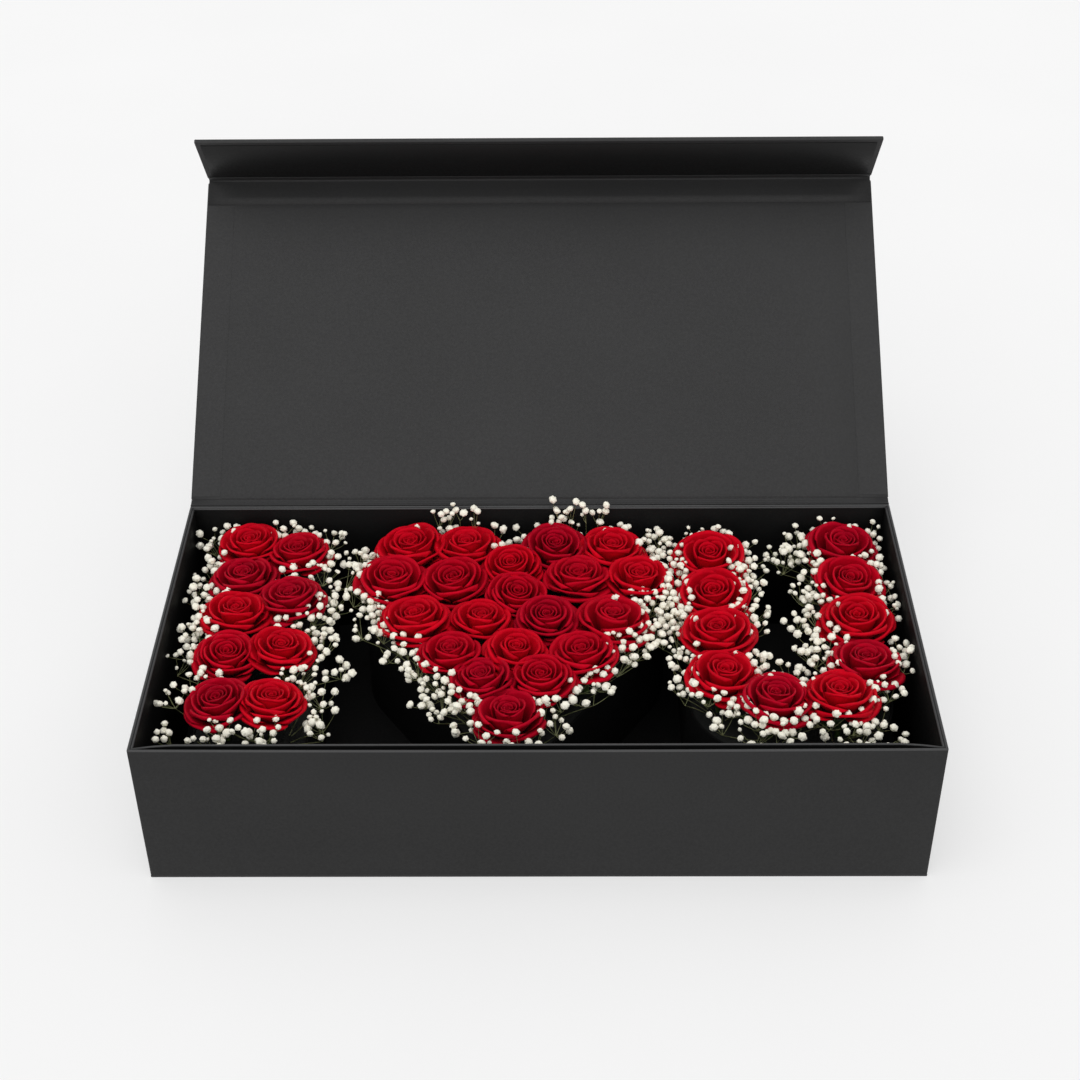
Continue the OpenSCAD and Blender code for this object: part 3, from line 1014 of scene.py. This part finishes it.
def grow_cluster(sprigs, fork, height, spread, puffs, ceiling):
    """One stem's spray of blossoms round its fork."""
    chance = sprigs.chance
    x, y, low = fork
    for _ in range(puffs):
        bend, out = chance.uniform(0, 2 * math.pi), spread * math.sqrt(chance.uniform(0.03, 1))
        bx, by = x + out * math.cos(bend), y + out * math.sin(bend)
        bz = low + chance.uniform(0.35, 1.0) * height
        size = chance.choice(BLOSSOM_SIZES)
        near = clearance(bx, by, ALL_SPOTS)
        if not inside_tray(bx, by, size) or bz > ceiling:
            continue
        if near < -OVER_ROSE[chance.random() < STRAY_SHARE]:
            continue
        if near < BESIDE_ROSE:
            bz = max(bz, rim - LIFTED)
        centre = Vector((bx, by, bz))
        if not room_for(centre, size):
            continue
        sag = chance.uniform(0, 1.2) * MM
        sprigs.stem(fork, (bx, by, bz - size * 0.6), TWIG, sag=sag, sides=4, steps=3)
        sprigs.blossom(centre, size)


def grow_group(sprigs, spots, clusters):
    """Clusters of blossoms in a band round a group of roses, each on its own branching stem."""
    chance = sprigs.chance
    forks = []
    tries = 0
    while len(forks) < clusters and tries < MOST_TRIES:
        tries += 1
        sx, sy, _, _ = chance.choice(spots)
        turn = chance.uniform(0, 2 * math.pi)
        out = ROSE_EDGE + chance.triangular(1 * MM, REACH, 5 * MM)
        x, y = sx + out * math.cos(turn), sy + out * math.sin(turn)
        gap = clearance(x, y, ALL_SPOTS)
        if gap < 2.5 * MM or not inside_tray(x, y, 2 * MM) or not outside(x, y, spots):
            continue
        if any(math.hypot(x - fx, y - fy) < FORK_SPACING for fx, fy in forks):
            continue
        forks.append((x, y))
        low = rim - chance.uniform(*FORK_DROP) * MM - max(gap - FLAT_BAND, 0) * FALL
        root = (sx + 8 * MM * math.cos(turn), sy + 8 * MM * math.sin(turn), foam_top - ROOT_DEPTH)
        fork = (x, y, low)
        sprigs.stem(root, fork, STEM, sag=chance.uniform(-2, 1) * MM)
        grow_cluster(sprigs, fork, TREE, SPREAD, chance.randint(8, 12), rim - 5 * MM)


def grow_tall_sprays(sprigs):
    """A few sprays behind the heart that stand above the rim."""
    chance = sprigs.chance
    back = max(y for _, y, _, _ in SPOTS["heart"])
    left = min(x for x, _, _, _ in SPOTS["heart"])
    right = max(x for x, _, _, _ in SPOTS["heart"])
    for share in TALL_SHARES:
        x, y = left + (right - left) * share, back + chance.uniform(21, 26) * MM
        root = (x + chance.uniform(-3, 3) * MM, back + 10 * MM, foam_top - ROOT_DEPTH)
        fork = (x, y, rim - chance.uniform(9, 16) * MM)
        sprigs.stem(root, fork, STEM, sag=1 * MM)
        grow_cluster(sprigs, fork, 21 * MM, 7 * MM, 7, rim + 11 * MM)


def make_babys_breath():
    for seed, (group, clusters) in enumerate(CLUSTERS.items()):
        sprigs = Sprigs(40 + seed)
        grow_group(sprigs, SPOTS[group], clusters)
        sprigs.piece(group + "_babys_breath", group + "_sprigs")
    tall = Sprigs(50)
    grow_tall_sprays(tall)
    sprays = tall.piece("tall_sprays")
    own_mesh(sprays)


# ---------------------------------------------------------------- stage, lights, camera

FLOOR_HALF = 40
FLOOR_GLOW = 0.47           # light the floor gives out itself, which keeps shadows on it pale
SKY = 0.72


def make_stage():
    """A wide pale floor under a plain pale sky."""
    mesh = bpy.data.meshes.new("floor")
    corners = [(x * FLOOR_HALF, y * FLOOR_HALF, 0) for x, y in ((-1, -1), (1, -1), (1, 1), (-1, 1))]
    mesh.from_pydata(corners, [], [(0, 1, 2, 3)])
    floor = bpy.data.objects.new("floor", mesh)
    bpy.context.scene.collection.objects.link(floor)
    shader = Shader("floor_white", 0.9)
    shader.bsdf.inputs["Specular IOR Level"].default_value = 0.1
    shader.colour(shader.ramp(shader.noise(3, 2), [(0.3, (0.44,) * 3), (0.7, (0.455,) * 3)]))
    shader.bsdf.inputs["Emission Color"].default_value = (1, 1, 1, 1)
    shader.bsdf.inputs["Emission Strength"].default_value = FLOOR_GLOW
    floor.data.materials.append(shader.material)

    world = bpy.data.worlds.new("soft_sky")
    world.use_nodes = True
    background = world.node_tree.nodes["Background"]
    background.inputs["Color"].default_value = (1, 1, 1, 1)
    background.inputs["Strength"].default_value = SKY
    bpy.context.scene.world = world


def add_light(name, place, strength, softness):
    """A wide soft light from far away, shining from a place towards the origin."""
    light = bpy.data.lights.new(name, "SUN")
    light.energy = strength
    light.angle = math.radians(softness)
    lamp = bpy.data.objects.new(name, light)
    lamp.location = place
    lamp.rotation_euler = Vector(place).to_track_quat("Z", "Y").to_euler()
    bpy.context.scene.collection.objects.link(lamp)


def make_lights():
    add_light("overhead", (-0.5, -0.6, 3.2), 0.80, 50)
    add_light("front_fill", (0.3, -2.9, 1.2), 0.55, 60)


def make_camera():
    """The picture's viewpoint: a little right of centre, looking down at the open box."""
    pitch, yaw, roll = math.radians(37.37), math.radians(-0.656), math.radians(-0.571)
    ahead = Vector((math.sin(yaw), math.cos(yaw), 0))
    forward = ahead * math.cos(pitch) - Vector((0, 0, math.sin(pitch)))
    level = Vector((math.cos(yaw), -math.sin(yaw), 0))
    upward = level.cross(forward)
    right = level * math.cos(roll) + upward * math.sin(roll)
    up = upward * math.cos(roll) - level * math.sin(roll)
    camera = bpy.data.objects.new("camera", bpy.data.cameras.new("camera"))
    camera.data.lens = 61.7
    camera.data.sensor_width = 36
    camera.data.clip_start = 0.05
    turned = Matrix((right, up, -forward)).transposed().to_4x4()
    camera.matrix_world = Matrix.Translation((0.0131, -0.9803, 0.9319)) @ turned
    bpy.context.scene.collection.objects.link(camera)
    bpy.context.scene.camera = camera
    bpy.context.scene.view_settings.view_transform = "Standard"


make_camera()
make_stage()
make_lights()
make_boards()
make_tray()
make_inner_frame()
make_lid_fold()
make_flap_fold()
make_roses()
make_babys_breath()
